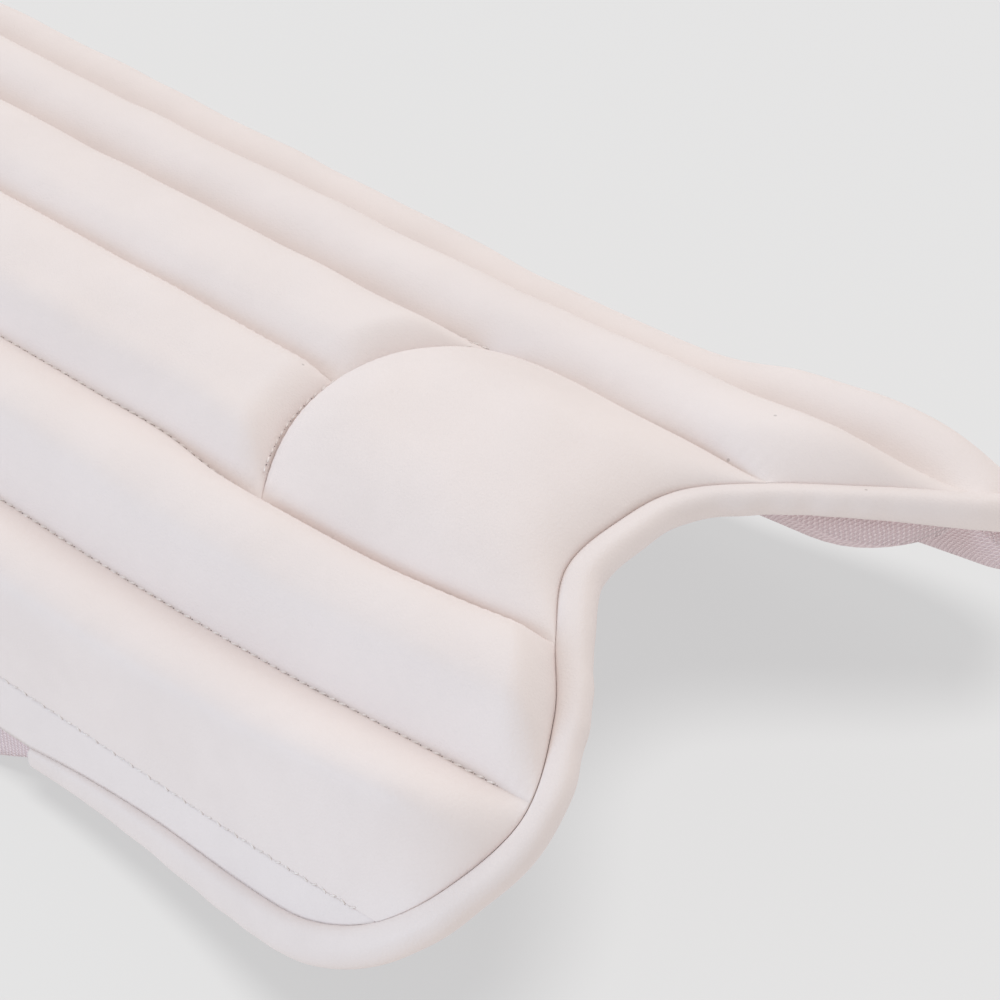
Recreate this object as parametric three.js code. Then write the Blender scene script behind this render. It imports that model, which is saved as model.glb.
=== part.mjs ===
// Wicket keeping pad, lying face up on the edges of its lining. Sizes are in millimetres.
// +X runs to the foot, +Z is up, the floor is Z = 0, and the pad mirrors in Y = 0.
import * as THREE from "three";
import { mergeVertices } from "three/addons/utils/BufferGeometryUtils.js";

// The station that lies at X = 0, half way along the pad.
const MIDDLE = -17;

// The face is sewn on a bent shell. A place on it is a station x and a girth, which is
// the distance from the centre line round the bend, negative on the near side.
// Columns: crown height, half width, height of the lower edge, squareness of the bend.
const SHELL = [
  { x: -345, crown: 90.0, half: 122.0, edge: 12, square: 2.0 },
  { x: -215, crown: 88.0, half: 126.0, edge: 12, square: 1.95 },
  { x: -80, crown: 86.0, half: 127.0, edge: 12, square: 1.95 },
  { x: 0, crown: 85.0, half: 123.0, edge: 12, square: 2.02 },
  { x: 80, crown: 84.5, half: 115.5, edge: 12, square: 2.25 },
  { x: 150, crown: 84.0, half: 110.0, edge: 13, square: 2.42 },
  { x: 210, crown: 87.0, half: 114.0, edge: 16, square: 2.25 },
  { x: 270, crown: 90.5, half: 127.0, edge: 22, square: 2.15 },
  { x: 310, crown: 93.0, half: 133.0, edge: 26, square: 2.15 },
];
const BEND_STEPS = 96;

// Girths of the lengthwise seams, from the centre line outwards, and of the face's own edge.
const ROLL_SEAMS = [0, 43.3, 86, 128.3];
const OUTER_SEAM = ROLL_SEAMS[ROLL_SEAMS.length - 1];
const FACE_EDGE = 144.5;

// The line where the binding is sewn to the foot end: arch, tip, corner and side.
const FOOT_SEAM = [
  { girth: 0, x: 248.5 },
  { girth: 22, x: 251 },
  { girth: 43, x: 266 },
  { girth: 63, x: 283 },
  { girth: 90, x: 295.5 },
  { girth: 112, x: 289.5 },
  { girth: 126, x: 277 },
  { girth: 134.5, x: 257 },
  { girth: 137, x: 225 },
  { girth: 137.3, x: 190 },
  { girth: 139.5, x: 160 },
  { girth: 142.5, x: 137 },
];

// The same line at the knee end, with plain rounded corners.
const TOP_SEAM = [
  { girth: 0, x: -329 },
  { girth: 70, x: -329 },
  { girth: 104, x: -325 },
  { girth: 126, x: -312 },
  { girth: 137, x: -292 },
  { girth: 141.5, x: -270 },
  { girth: 143.5, x: -249 },
];

// Padding. A rise is the height of a roll's crown over its seams, a turn is the length
// over which its end is drawn down to the seam. A roll's arch is a superellipse.
const COVER = 1.2;
const ARCH = { sides: 2.4, crown: 2.2 };
const ROLL_RISES = [6.5, 10.5, 15];
const ROLL_TURN = 20;
const BLOCK_RISE = 10.5;
const BLOCK_EDGE = { crown: 147.5, sweep: 15.5 };
const BLOCK_TURN = 22;
const BLOCK_SLOPE = { length: 42, power: 1.6 };
const ROLL_TURN_AT_BLOCK = 11;
const KNEE_SEAMS = [-152, -193, -234, -275];
const KNEE_RISE = 12;
const TOP_RISE = 9;
const TOP_TURN = 20;
const STRIP = { thickness: 2.2, point: 0.6 };

// Binding: half width across the edge, half height through it, and the narrow ends.
const BINDING = { half: 5.6, tall: 6.6, sink: 2, endHalf: 4, taper: 40 };

// Lining: it hangs to the floor between two stations and rises to the seams outside them.
// The flap's ends meet the bindings at one girth, and the floor squares its lower edge.
const LINING_BASE = 5;
const LOBE_RISE = 17;
const FLAP_RISE = 7;
const FLAP_SEAM = 137;
const FLAP_SQUARED = 0.45;
const LOBE_TURN = 14;
const LOBE_LIP = 3;
const FLOOR_SPAN = { top: -205, topRise: 44, foot: 92, footRise: 34 };

// Straps: plain bands that lie across the open back.
const STRAP = { width: 38, thickness: 2.2, rise: 14, bend: 5, clear: 0.4 };
const STRAP_STATIONS = { strap_lower: 55, strap_upper: -175 };

// Gaps that keep the pieces apart.
const SEAM_GAP = 0.2;
const BINDING_GAP = 0.3;
const LINING_GAP = 1;
const LINING_END_GAP = 1.6;

// Facets across and along each piece, and how far the rows are drawn to its ends.
const FACETS = {
  innerRoll: { across: 6, along: 14 },
  outerRoll: { across: 6, along: 18 },
  block: { across: 10, along: 10 },
  kneeRoll: { across: 14, along: 6 },
  topPanel: { across: 18, along: 6 },
  strip: { across: 2, along: 22 },
  footBinding: { around: 10, along: 64 },
  topBinding: { around: 10, along: 36 },
  lining: { lobe: 5, flap: 2, along: 24 },
  strap: { across: 18, along: 2 },
};
const END_PULL = 0.6;
const LINING_PULL = 0.5;

// A smooth curve through one column of a table.
function readTable(rows, key, column, at) {
  const last = rows.length - 1;
  const place = Math.min(Math.max(at, rows[0][key]), rows[last][key]);
  let i = 0;
  while (i < last - 1 && place > rows[i + 1][key]) i += 1;
  const run = (k) => rows[k + 1][key] - rows[k][key];
  const grade = (k) => (rows[k + 1][column] - rows[k][column]) / run(k);
  const slope = (k) => {
    if (k === 0) return grade(0);
    if (k === last) return grade(last - 1);
    return (grade(k - 1) * run(k) + grade(k) * run(k - 1)) / (run(k - 1) + run(k));
  };
  const t = (place - rows[i][key]) / run(i);
  const s = 1 - t;
  return (
    rows[i][column] * s * s * (1 + 2 * t) +
    rows[i + 1][column] * t * t * (1 + 2 * s) +
    run(i) * s * t * (slope(i) * s - slope(i + 1) * t)
  );
}

// Half of the shell's bend at a station, as points with their girths.
const bends = new Map();
function bendAt(x) {
  const key = x.toFixed(3);
  if (bends.has(key)) return bends.get(key);
  const crown = readTable(SHELL, "x", "crown", x);
  const half = readTable(SHELL, "x", "half", x);
  const edge = readTable(SHELL, "x", "edge", x);
  const power = 2 / readTable(SHELL, "x", "square", x);
  const points = [];
  for (let i = 0; i <= BEND_STEPS; i += 1) {
    const angle = (Math.PI / 2) * (i / BEND_STEPS);
    const y = half * Math.sin(angle) ** power;
    const z = edge + (crown - edge) * Math.max(Math.cos(angle), 0) ** power;
    const before = points[i - 1];
    const girth = before ? before.girth + Math.hypot(y - before.y, z - before.z) : 0;
    points.push({ y, z, girth });
  }
  bends.set(key, points);
  return points;
}

function alongBend(points, girth) {
  let i = 0;
  while (i < points.length - 2 && girth > points[i + 1].girth) i += 1;
  const a = points[i];
  const b = points[i + 1];
  const t = (girth - a.girth) / (b.girth - a.girth);
  return { y: a.y + (b.y - a.y) * t, z: a.z + (b.z - a.z) * t };
}

const wholeGirth = (x) => bendAt(x)[BEND_STEPS].girth;

// A point lifted off the shell. Past the shell's lower edge it hangs straight down.
function onShell(x, girth, lift) {
  const points = bendAt(x);
  const whole = points[BEND_STEPS].girth;
  const side = girth < 0 ? -1 : 1;
  const reach = Math.abs(girth);
  const inside = Math.min(reach, whole);
  const here = alongBend(points, inside);
  const low = alongBend(points, Math.max(inside - 1, 0));
  const high = alongBend(points, Math.min(inside + 1, whole));
  const span = Math.hypot(high.y - low.y, high.z - low.z);
  const hang = reach - inside;
  let outward = (low.z - high.z) / span;
  let upward = (high.y - low.y) / span;
  if (reach < 1) {
    outward = 0;
    upward = 1;
  } else if (hang > 0) {
    outward = 1;
    upward = 0;
  }
  const y = side * (here.y + outward * lift);
  const z = here.z + upward * lift - hang;
  return new THREE.Vector3(x - MIDDLE, y, z);
}

// The seam under a binding, from the near side round to the far side.
function seamCurve(rows) {
  const near = rows.map((row) => new THREE.Vector3(-row.girth, row.x, 0)).reverse();
  const far = rows.slice(1).map((row) => new THREE.Vector3(row.girth, row.x, 0));
  return new THREE.CatmullRomCurve3([...near, ...far], false, "centripetal");
}

const SEAM_SAMPLES = 800;
const footCurve = seamCurve(FOOT_SEAM);
const topCurve = seamCurve(TOP_SEAM);
const footLine = footCurve.getSpacedPoints(SEAM_SAMPLES);
const topLine = topCurve.getSpacedPoints(SEAM_SAMPLES);

function seamX(line, girth) {
  const far = Math.abs(girth);
  let i = SEAM_SAMPLES / 2;
  while (i < SEAM_SAMPLES - 1 && line[i + 1].x < far) i += 1;
  const t = Math.min((far - line[i].x) / (line[i + 1].x - line[i].x), 1);
  return line[i].y + (line[i + 1].y - line[i].y) * t;
}

// The girth of a side seam at a station, taken on the part outside the outermost roll.
function seamGirth(line, x) {
  const sign = Math.sign(line[SEAM_SAMPLES].y - line[SEAM_SAMPLES / 2].y);
  let i = SEAM_SAMPLES;
  while (i > SEAM_SAMPLES / 2 && (line[i].y - x) * sign > 0) i -= 1;
  return line[i].x;
}

const footX = (girth) => seamX(footLine, girth);
const topX = (girth) => seamX(topLine, girth);
const blockX = (girth) => BLOCK_EDGE.crown + BLOCK_EDGE.sweep * (girth / ROLL_SEAMS[1]) ** 2;

// Shapes of padding.
const clamp01 = (t) => Math.min(Math.max(t, 0), 1);
const mix = (a, b, t) => a + (b - a) * t;
const dome = (t) => Math.max(1 - Math.abs(t) ** ARCH.sides, 0) ** (1 / ARCH.crown);
const turnDown = (distance, length, power = 2) =>
  Math.max(1 - (1 - clamp01(distance / length)) ** 2, 0) ** (1 / power);
const easeEnds = (t, pull = END_PULL) => t - (pull / (2 * Math.PI)) * Math.sin(2 * Math.PI * t);
const easeSides = (t) => Math.sin((Math.PI / 2) * (2 * t - 1));

// A block bent to shape: u goes across, v goes along and w goes through it, each 0 to 1.
function bentBlock(facets, bend) {
  const box = new THREE.BoxGeometry(1, 1, 1, facets.along, facets.across, 1);
  return bendPoints(box, (p) => bend(p.y + 0.5, p.x + 0.5, p.z + 0.5));
}

// A capped rod bent to shape: angle goes round it and t goes along it.
function bentRod(facets, bend) {
  const rod = new THREE.CylinderGeometry(1, 1, 1, facets.around, facets.along);
  return bendPoints(rod, (p) => bend(Math.hypot(p.x, p.z), Math.atan2(p.z, p.x), p.y + 0.5));
}

function bendPoints(geometry, bend) {
  geometry.deleteAttribute("normal");
  geometry.deleteAttribute("uv");
  const position = geometry.getAttribute("position");
  const point = new THREE.Vector3();
  for (let i = 0; i < position.count; i += 1) {
    const bent = bend(point.fromBufferAttribute(position, i));
    position.setXYZ(i, bent.x, bent.y, bent.z);
  }
  const solid = mergeVertices(geometry, 1e-3);
  solid.computeVertexNormals();
  return solid;
}

// One of the six rolls: the two inner ones stop at the block, the others at the foot seam.
function shinRoll(order, side) {
  const inner = ROLL_SEAMS[order] + SEAM_GAP;
  const outer = ROLL_SEAMS[order + 1] - SEAM_GAP;
  const atBlock = order === 0;
  const turn = atBlock ? ROLL_TURN_AT_BLOCK : ROLL_TURN;
  return bentBlock(atBlock ? FACETS.innerRoll : FACETS.outerRoll, (u, v, w) => {
    const across = easeSides(u);
    const girth = side * mix(inner, outer, (1 + side * across) / 2);
    const start = KNEE_SEAMS[0] + SEAM_GAP;
    const end = (atBlock ? blockX(girth) : footX(girth)) - SEAM_GAP;
    const x = mix(start, end, easeEnds(v));
    const ends = turnDown(end - x, turn) * turnDown(x - start, ROLL_TURN_AT_BLOCK);
    return onShell(x, girth, w * (COVER + ROLL_RISES[order] * dome(across) * ends));
  });
}

function instepBlock() {
  const half = ROLL_SEAMS[1] - SEAM_GAP;
  return bentBlock(FACETS.block, (u, v, w) => {
    const across = easeSides(u);
    const girth = across * half;
    const start = blockX(girth) + SEAM_GAP;
    const end = footX(girth) - SEAM_GAP;
    const x = mix(start, end, easeEnds(v));
    const slope = turnDown(end - x, BLOCK_SLOPE.length, BLOCK_SLOPE.power);
    const ends = turnDown(x - start, BLOCK_TURN) * slope;
    return onShell(x, girth, w * (COVER + BLOCK_RISE * dome(across) * ends));
  });
}

function kneeRoll(order) {
  const low = KNEE_SEAMS[order + 1] + SEAM_GAP;
  const high = KNEE_SEAMS[order] - SEAM_GAP;
  const half = OUTER_SEAM - SEAM_GAP;
  return bentBlock(FACETS.kneeRoll, (u, v, w) => {
    const along = easeSides(v);
    const girth = mix(-half, half, easeEnds(u));
    const x = mix(low, high, (1 + along) / 2);
    const ends = turnDown(half - Math.abs(girth), ROLL_TURN);
    return onShell(x, girth, w * (COVER + KNEE_RISE * dome(along) * ends));
  });
}

function topPanel() {
  const half = OUTER_SEAM - SEAM_GAP;
  return bentBlock(FACETS.topPanel, (u, v, w) => {
    const girth = mix(-half, half, easeEnds(u));
    const start = topX(girth) + SEAM_GAP;
    const end = KNEE_SEAMS[3] - SEAM_GAP;
    const x = mix(start, end, easeEnds(v));
    const ends = turnDown(x - start, TOP_TURN) * turnDown(end - x, ROLL_TURN_AT_BLOCK);
    const sides = turnDown(half - Math.abs(girth), TOP_TURN);
    return onShell(x, girth, w * (COVER + TOP_RISE * ends * sides));
  });
}

// The flat strip between the outermost stitch line and the edge or the bindings.
function sideStrip(side) {
  const inner = OUTER_SEAM + SEAM_GAP;
  const start = topX(inner + STRIP.point) + SEAM_GAP;
  const end = footX(inner + STRIP.point) - SEAM_GAP;
  return bentBlock(FACETS.strip, (u, v, w) => {
    const x = mix(start, end, easeEnds(v));
    const sewn = Math.min(seamGirth(footLine, x), seamGirth(topLine, x)) - SEAM_GAP;
    const outer = Math.max(Math.min(FACE_EDGE, sewn), inner + STRIP.point);
    const across = side > 0 ? u : 1 - u;
    return onShell(x, side * mix(inner, outer, across), w * STRIP.thickness);
  });
}

function binding(curve, facets, outward) {
  const length = curve.getLength();
  return bentRod(facets, (radius, angle, t) => {
    const seam = curve.getPointAt(t);
    const tangent = curve.getTangentAt(t);
    const fromEnd = Math.min(t, 1 - t) * length;
    const half = mix(BINDING.endHalf, BINDING.half, clamp01(fromEnd / BINDING.taper));
    const turn = angle * outward;
    const across = BINDING_GAP + half * (1 + radius * Math.cos(turn));
    const lift = radius * BINDING.tall * Math.sin(turn) - BINDING.sink;
    const girth = seam.x - outward * tangent.y * across;
    const x = seam.y + outward * tangent.x * across;
    return onShell(x, girth, lift);
  });
}

// How far the lining reaches round the shell: to the floor, or to the seam at each end.
function liningReach(x) {
  const toFloor = wholeGirth(x) + readTable(SHELL, "x", "edge", x);
  const sewn = Math.min(seamGirth(footLine, x), seamGirth(topLine, x)) - LINING_END_GAP;
  return mix(toFloor, Math.min(sewn, toFloor), liftOff(x));
}

function liftOff(x) {
  const toFoot = (x - FLOOR_SPAN.foot) / FLOOR_SPAN.footRise;
  const toTop = (FLOOR_SPAN.top - x) / FLOOR_SPAN.topRise;
  const t = clamp01(Math.max(toFoot, toTop));
  return t * t * (3 - 2 * t);
}

// Depth of the lining's hanging edge below the outermost roll, from 0 at the roll to 1.
function flapDepth(x, share) {
  const rest = 1 - liftOff(x);
  return LINING_BASE + FLAP_RISE * dome(share * (2 - FLAP_SQUARED * rest) - 1);
}

// Padded lobes, one behind each roll, and a flap outside them on each side.
function meshLining() {
  const { lobe: lobeColumns, flap: flapColumns, along } = FACETS.lining;
  const lobesASide = ROLL_SEAMS.length - 1;
  const across = 2 * (lobesASide * lobeColumns + flapColumns);
  return bentBlock({ across, along }, (u, v, w) => {
    const fromCentre = Math.abs(u - 0.5) * across;
    const side = u < 0.5 ? -1 : 1;
    const lobe = Math.min(Math.floor(fromCentre / lobeColumns), lobesASide - 1);
    const part = fromCentre / lobeColumns - lobe;
    const share = Math.max(fromCentre - lobesASide * lobeColumns, 0) / flapColumns;
    const inFlap = share > 0;
    const seamed = inFlap
      ? mix(OUTER_SEAM, FLAP_SEAM, share)
      : mix(ROLL_SEAMS[lobe], ROLL_SEAMS[lobe + 1], part);
    const start = topX(seamed) + LINING_END_GAP;
    const end = footX(seamed) - LINING_END_GAP;
    const x = mix(start, end, easeEnds(v, LINING_PULL));
    const girth = inFlap ? mix(OUTER_SEAM, liningReach(x), share) : seamed;
    const nearer = Math.min(end - x, x - start);
    const ends = turnDown(nearer + LOBE_LIP, LOBE_TURN);
    const padding = inFlap ? flapDepth(x, share) - LINING_BASE : LOBE_RISE * dome(2 * part - 1);
    const depth = LINING_BASE + padding * ends;
    return onShell(x, side * girth, -LINING_GAP - depth * (1 - w));
  });
}

// A slack band: the lower half of a squarish oval between the lining's two flaps.
function strap(station) {
  return bentBlock(FACETS.strap, (u, v, w) => {
    const x = station + (v - 0.5) * STRAP.width;
    const reach = liningReach(x);
    const share = (reach - STRAP.rise - OUTER_SEAM) / (reach - OUTER_SEAM);
    const wall = onShell(x, reach - STRAP.rise, -LINING_GAP - flapDepth(x, share));
    const half = wall.y - 2 * STRAP.clear - w * STRAP.thickness;
    const drop = STRAP.rise - w * STRAP.thickness;
    const angle = Math.PI * u;
    const power = 2 / STRAP.bend;
    const y = -Math.sign(Math.cos(angle)) * half * Math.abs(Math.cos(angle)) ** power;
    const z = STRAP.clear + STRAP.rise - drop * Math.max(Math.sin(angle), 0) ** power;
    return new THREE.Vector3(x - MIDDLE, y, z);
  });
}

// Finishes.
const finish = (color, roughness) =>
  new THREE.MeshStandardMaterial({ color, roughness, metalness: 0 });
const whiteLeather = finish(0xece3df, 0.55);
const stripLeather = finish(0xe4dfe0, 0.6);
const bindingLeather = finish(0xe9e0dc, 0.5);
const airMesh = finish(0xcdbec9, 0.9);
const webbing = finish(0xe2dcda, 0.85);

const pad = new THREE.Group();
pad.name = "wicket_keeping_pad";

function addPiece(name, geometry, material) {
  const piece = new THREE.Mesh(geometry, material);
  piece.name = name;
  pad.add(piece);
}

const rollOrder = [
  { order: 2, side: -1 },
  { order: 1, side: -1 },
  { order: 0, side: -1 },
  { order: 0, side: 1 },
  { order: 1, side: 1 },
  { order: 2, side: 1 },
];
rollOrder.forEach(({ order, side }, i) => {
  addPiece(`shin_roll_${i + 1}`, shinRoll(order, side), whiteLeather);
});
addPiece("instep_block", instepBlock(), whiteLeather);
for (let order = 0; order < KNEE_SEAMS.length - 1; order += 1) {
  addPiece(`knee_roll_${order + 1}`, kneeRoll(order), whiteLeather);
}
addPiece("top_panel", topPanel(), whiteLeather);
addPiece("side_strip_near", sideStrip(-1), stripLeather);
addPiece("side_strip_far", sideStrip(1), stripLeather);
addPiece("foot_binding", binding(footCurve, FACETS.footBinding, 1), bindingLeather);
addPiece("top_binding", binding(topCurve, FACETS.topBinding, -1), bindingLeather);
addPiece("mesh_lining", meshLining(), airMesh);
for (const [name, station] of Object.entries(STRAP_STATIONS)) {
  addPiece(name, strap(station), webbing);
}

export default pad;
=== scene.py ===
# %% [markdown]
# A wicket keeping pad, lying face up on a pale floor.
# The pad is a row of stuffed rolls sewn side by side on a bent base, with a padded block over
# the instep, a thick rolled binding round the foot end and a lining of soft knitted mesh.
# The CAD frame holds plain solids, and each of them is made again here with a finer shape.

# %% Load the frame
import math
import bmesh
import bpy
import numpy as np
from mathutils import Matrix, Vector


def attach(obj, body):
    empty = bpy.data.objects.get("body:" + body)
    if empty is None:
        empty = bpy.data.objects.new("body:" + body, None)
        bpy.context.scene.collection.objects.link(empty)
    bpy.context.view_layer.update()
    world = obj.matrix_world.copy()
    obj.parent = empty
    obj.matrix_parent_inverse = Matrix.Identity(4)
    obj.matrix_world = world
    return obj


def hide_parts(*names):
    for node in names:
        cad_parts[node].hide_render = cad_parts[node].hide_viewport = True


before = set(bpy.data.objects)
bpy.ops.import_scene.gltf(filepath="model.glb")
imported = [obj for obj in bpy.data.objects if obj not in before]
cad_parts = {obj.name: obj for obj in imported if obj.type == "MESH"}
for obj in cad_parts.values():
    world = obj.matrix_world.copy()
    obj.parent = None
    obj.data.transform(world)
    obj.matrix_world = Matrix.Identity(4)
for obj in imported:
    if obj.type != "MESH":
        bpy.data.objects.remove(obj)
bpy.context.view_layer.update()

# %% [markdown]
# The photograph is a close view of the foot end from above, so the camera comes first.
# A long lens keeps the rolls nearly parallel. The camera is put on a ray that leaves the
# target at the photograph's azimuth and elevation, and it looks back along that ray.

# %% Camera
CAMERA_TARGET = Vector((0.225, 0.0, 0.0778))
CAMERA_AZIMUTH = math.radians(42.5)
CAMERA_ELEVATION = math.radians(37.0)
CAMERA_DISTANCE = 0.725
CAMERA_LENS = 97.2
CAMERA_SENSOR = 36.0
CAMERA_CLIP = 0.01

camera_data = bpy.data.cameras.new("camera")
camera_data.sensor_width = CAMERA_SENSOR
camera_data.lens = CAMERA_LENS
camera_data.clip_start = CAMERA_CLIP
camera = bpy.data.objects.new("camera", camera_data)
bpy.context.scene.collection.objects.link(camera)
back = Vector((
    math.sin(CAMERA_AZIMUTH) * math.cos(CAMERA_ELEVATION),
    -math.cos(CAMERA_AZIMUTH) * math.cos(CAMERA_ELEVATION),
    math.sin(CAMERA_ELEVATION),
))
camera.location = CAMERA_TARGET + back * CAMERA_DISTANCE
camera.rotation_mode = "QUATERNION"
camera.rotation_quaternion = (-back).to_track_quat("-Z", "Y")
bpy.context.scene.camera = camera
print("camera at", tuple(round(c, 4) for c in camera.location))

# %% [markdown]
# The face of the pad is sewn on a bent shell, like half a pipe that widens at knee and foot.
# A point on it is a station along the pad and a girth round the bend, both in millimetres.
# The shell is worked out once on a fine net of stations and girths, and pieces read from it.

# %% The bent shell
MM = 0.001
MIDDLE = -17.0
SHELL = {
    "x": (-345, -215, -80, 0, 80, 150, 210, 270, 310),
    "crown": (90.0, 88.0, 86.0, 85.0, 84.5, 84.0, 87.0, 90.5, 93.0),
    "half": (122.0, 126.0, 127.0, 123.0, 115.5, 110.0, 114.0, 127.0, 133.0),
    "edge": (12, 12, 12, 12, 12, 13, 16, 22, 26),
    "square": (2.0, 1.95, 1.95, 2.02, 2.25, 2.42, 2.25, 2.15, 2.15),
}


def smooth_column(table, column, at):
    """A smooth curve through one column of a table, read at places along its x column."""
    keys = np.array(table["x"], float)
    values = np.array(table[column], float)
    run = np.diff(keys)
    grade = np.diff(values) / run
    slope = np.concatenate([grade[:1], grade[:-1], grade[-1:]])
    slope[1:-1] = (grade[:-1] * run[1:] + grade[1:] * run[:-1]) / (run[:-1] + run[1:])
    at = np.clip(at, keys[0], keys[-1])
    i = np.clip(np.searchsorted(keys, at) - 1, 0, len(run) - 1)
    t = (at - keys[i]) / run[i]
    s = 1 - t
    bow = run[i] * s * t * (slope[i] * s - slope[i + 1] * t)
    return values[i] * s * s * (1 + 2 * t) + values[i + 1] * t * t * (1 + 2 * s) + bow


STATION_STEP = 1.0
STATION_ENDS = (-346.0, 331.0)
GIRTH_STEP = 0.5
GIRTH_END = 200.0
BEND_SAMPLES = 241
stations = np.arange(*STATION_ENDS, STATION_STEP)
girths = np.arange(0.0, GIRTH_END, GIRTH_STEP)
angles = np.linspace(0, math.pi / 2, BEND_SAMPLES)
bend_power = 2 / smooth_column(SHELL, "square", stations)[:, None]
low_edge = smooth_column(SHELL, "edge", stations)[:, None]
crown = smooth_column(SHELL, "crown", stations)[:, None]
bend_y = smooth_column(SHELL, "half", stations)[:, None] * np.sin(angles) ** bend_power
bend_z = low_edge + (crown - low_edge) * np.clip(np.cos(angles), 0, 1) ** bend_power
bend_step = np.hypot(np.diff(bend_y, axis=1), np.diff(bend_z, axis=1))
bend_girth = np.concatenate([np.zeros((len(stations), 1)), np.cumsum(bend_step, axis=1)], axis=1)
shell_y = np.array([np.interp(girths, g, y) for g, y in zip(bend_girth, bend_y)])
shell_z = np.array([np.interp(girths, g, z) for g, z in zip(bend_girth, bend_z)])
mid_girth = float(np.interp(0, stations, bend_girth[:, -1]))
print("shell net", shell_y.shape, "girth at mid length", round(mid_girth, 1), "mm")

# %% [markdown]
# Reading the net is a plain blend of its four nearest points. The direction off the surface is
# taken across the bend, and past the shell's lower edge a point hangs straight down.

# %% Points on the shell
NET_MARGIN = 1.001
NORMAL_STEP = 1.0


def read_net(net, x, girth):
    """A value of the shell's net, blended between its four nearest points."""
    across = np.clip((x - stations[0]) / STATION_STEP, 0, len(stations) - NET_MARGIN)
    around = np.clip(girth / GIRTH_STEP, 0, len(girths) - NET_MARGIN)
    i = across.astype(int)
    j = around.astype(int)
    s = across - i
    t = around - j
    first = net[i, j] * (1 - t) + net[i, j + 1] * t
    second = net[i + 1, j] * (1 - t) + net[i + 1, j + 1] * t
    return first * (1 - s) + second * s


def whole_girth(x):
    """The girth of one side of the shell, from its crown to its lower edge."""
    return np.interp(x, stations, bend_girth[:, -1])


def on_shell(x, girth, lift):
    """Points lifted off the shell, as rows of metres in the frame."""
    x, girth, lift = np.broadcast_arrays(*(np.asarray(a, float) for a in (x, girth, lift)))
    reach = np.abs(girth)
    inside = np.minimum(reach, whole_girth(x))
    hang = reach - inside
    low = np.maximum(inside - NORMAL_STEP, 0)
    high = np.minimum(inside + NORMAL_STEP, whole_girth(x))
    rise_y = read_net(shell_y, x, high) - read_net(shell_y, x, low)
    rise_z = read_net(shell_z, x, high) - read_net(shell_z, x, low)
    span = np.maximum(np.hypot(rise_y, rise_z), 1e-6)
    outward = np.where(hang > 0, 1, np.where(reach < NORMAL_STEP, 0, -rise_z / span))
    upward = np.where(hang > 0, 0, np.where(reach < NORMAL_STEP, 1, rise_y / span))
    y = np.sign(girth + 1e-9) * (read_net(shell_y, x, inside) + outward * lift)
    z = read_net(shell_z, x, inside) + upward * lift - hang
    return np.stack([x - MIDDLE, y, z], axis=-1) * MM


print("crown at the foot end", on_shell(248.5, 0, 0).round(4))

# %% [markdown]
# The foot end is cut to an arch with a rounded tip on each side, and the knee end is straight
# with round corners. Each cut is a smooth line through a few places, from the near side to the
# far side, and the far column says how much longer the far tip is. A centripetal spline is used
# because it never loops between uneven places.

# %% Cut lines
FOOT_SEAM = {
    "girth": (0, 22, 43, 63, 90, 112, 126, 134.5, 137, 137.3, 139.5, 142.5),
    "x": (248.5, 251, 266, 283, 295.5, 289.5, 277, 257, 225, 190, 160, 137),
    "far": (0, 0, 0, 2, 11, 17, 18, 12, 4, 0, 0, 0),
}
TOP_SEAM = {
    "girth": (0, 70, 104, 126, 137, 141.5, 143.5),
    "x": (-329, -329, -325, -312, -292, -270, -249),
    "far": (0, 0, 0, 0, 0, 0, 0),
}
LINE_SAMPLES = 1600


def spline_through(points, per_span=80):
    """A centripetal spline through points, as a dense polyline."""
    ends = [2 * points[0] - points[1], *points, 2 * points[-1] - points[-2]]
    dense = []
    t = np.linspace(0, 1, per_span, endpoint=False)[:, None]
    for a, b, c, d in zip(ends, ends[1:], ends[2:], ends[3:]):
        ab, bc, cd = (math.sqrt(np.linalg.norm(q - p)) for p, q in ((a, b), (b, c), (c, d)))
        start = ((b - a) / ab - (c - a) / (ab + bc) + (c - b) / bc) * bc
        stop = ((c - b) / bc - (d - b) / (bc + cd) + (d - c) / cd) * bc
        bow = (-3 * b + 3 * c - 2 * start - stop) * t**2 + (2 * b - 2 * c + start + stop) * t**3
        dense.append(b + start * t + bow)
    return np.concatenate([*dense, points[-1:]])


def spaced(line, count):
    """The same polyline with count + 1 points at equal steps."""
    run = np.concatenate([[0], np.cumsum(np.linalg.norm(np.diff(line, axis=0), axis=1))])
    at = np.linspace(0, run[-1], count + 1)
    return np.stack([np.interp(at, run, column) for column in line.T], axis=1)


def cut_line(table):
    """Both halves of a cut, as (girth, station) from the near side to the far side."""
    plain_half = np.stack([table["girth"], table["x"]], axis=1).astype(float)
    far_half = plain_half + np.stack([np.zeros(len(plain_half)), table["far"]], axis=1)
    near_half = plain_half[:0:-1] * (-1, 1)
    return spaced(spline_through(np.concatenate([near_half, far_half])), LINE_SAMPLES)


foot_line = cut_line(FOOT_SEAM)
top_line = cut_line(TOP_SEAM)
print("foot cut from", foot_line[0].round(1), "to", foot_line[-1].round(1))

# %% [markdown]
# Pieces ask for the cuts in two ways. A roll needs the station at which a cut ends it, and a
# strip needs the girth at which it meets a cut. The second is read backwards from the first.

# %% Reading the cut lines
SIDE_FROM = 100.0
SIDE_STEP = 0.1
TIP_GIRTH = 90.0


def foot_x(girth):
    """The station of the foot cut."""
    return np.interp(girth, foot_line[:, 0], foot_line[:, 1])


def top_x(girth):
    """The station of the knee cut."""
    return np.interp(girth, top_line[:, 0], top_line[:, 1])


def side_girth(x, side):
    """The girth at which the nearer cut line crosses a station, outside the rolls."""
    reach = np.arange(SIDE_FROM, foot_line[-1, 0], SIDE_STEP)
    at_foot = np.interp(x, foot_x(side * reach)[::-1], reach[::-1])
    at_top = np.interp(x, top_x(side * reach), reach)
    return np.minimum(at_foot, at_top)


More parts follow.
